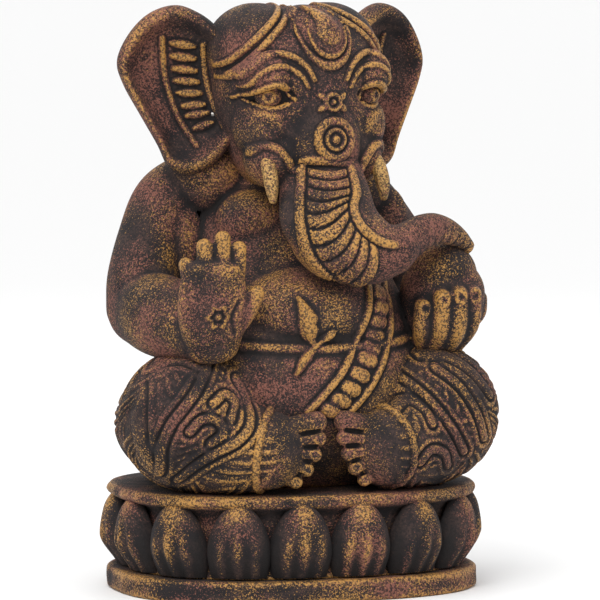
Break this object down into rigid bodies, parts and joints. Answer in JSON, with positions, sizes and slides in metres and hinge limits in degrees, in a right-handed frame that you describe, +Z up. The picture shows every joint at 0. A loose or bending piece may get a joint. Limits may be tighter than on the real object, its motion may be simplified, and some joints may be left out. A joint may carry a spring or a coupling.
{
  "type": "seated deity statue",
  "caption": "Seated elephant-headed deity on an oval lotus plinth, one palm raised, trunk curled over a sweet held in the other hand, in dark cast stone sponged with gold.",
  "frame": {"origin": "middle of the plinth's underside", "axes": "+Z up through the crown, -Y the way the figure looks, +X towards the figure's left hand"},
  "size_m": [0.2642, 0.2116, 0.4007],
  "materials": {
    "figure_stone": "matt sandy dark stone with gold and copper sponge marks",
    "trouser_stone": "matt sandy dark stone, gold on the carved pattern",
    "plinth_stone": "matt sandy near-black stone, gold on petals and rim",
    "ornament_stone": "dark stone rubbed with gold on its high spots",
    "gilt_stone": "satin gold paint worn to the stone",
    "armature_steel": "plain drawn bar"
  },
  "bodies": {
    "root": {"plinth_slab": "plinth_stone", "lotus_drum": "plinth_stone", "lotus_petals": "plinth_stone", "torso": "figure_stone", "right_leg": "trouser_stone", "left_leg": "trouser_stone", "right_hem": "trouser_stone", "left_hem": "trouser_stone", "right_foot": "figure_stone", "left_foot": "figure_stone", "right_upper_arm": "figure_stone", "left_upper_arm": "figure_stone", "right_forearm": "figure_stone", "left_forearm": "figure_stone", "right_hand": "figure_stone", "left_hand": "figure_stone", "sweet_ball": "figure_stone", "head": "figure_stone", "right_ear": "figure_stone", "left_ear": "figure_stone", "right_ear_ladder": "ornament_stone", "left_ear_ladder": "ornament_stone", "trunk": "figure_stone", "trunk_ribs": "ornament_stone", "trunk_border": "ornament_stone", "trunk_disc": "ornament_stone", "right_tusk": "gilt_stone", "left_tusk": "gilt_stone", "right_eyeball": "figure_stone", "left_eyeball": "figure_stone", "right_eyelids": "ornament_stone", "left_eyelids": "ornament_stone", "right_brow": "ornament_stone", "left_brow": "ornament_stone", "head_band": "ornament_stone", "forehead_drop": "ornament_stone", "forehead_crescents": "ornament_stone", "brow_rosette": "ornament_stone", "snake_belt": "ornament_stone", "snake_hood": "ornament_stone", "snake_tail": "ornament_stone", "sash_cords": "ornament_stone", "sash_beads": "ornament_stone", "spine_rod": "armature_steel", "base_dowels": "armature_steel", "leg_dowels": "armature_steel", "arm_dowels": "armature_steel", "ear_pins": "armature_steel", "trunk_dowel": "armature_steel", "sweet_pin": "armature_steel"}
  },
  "joints": []
}
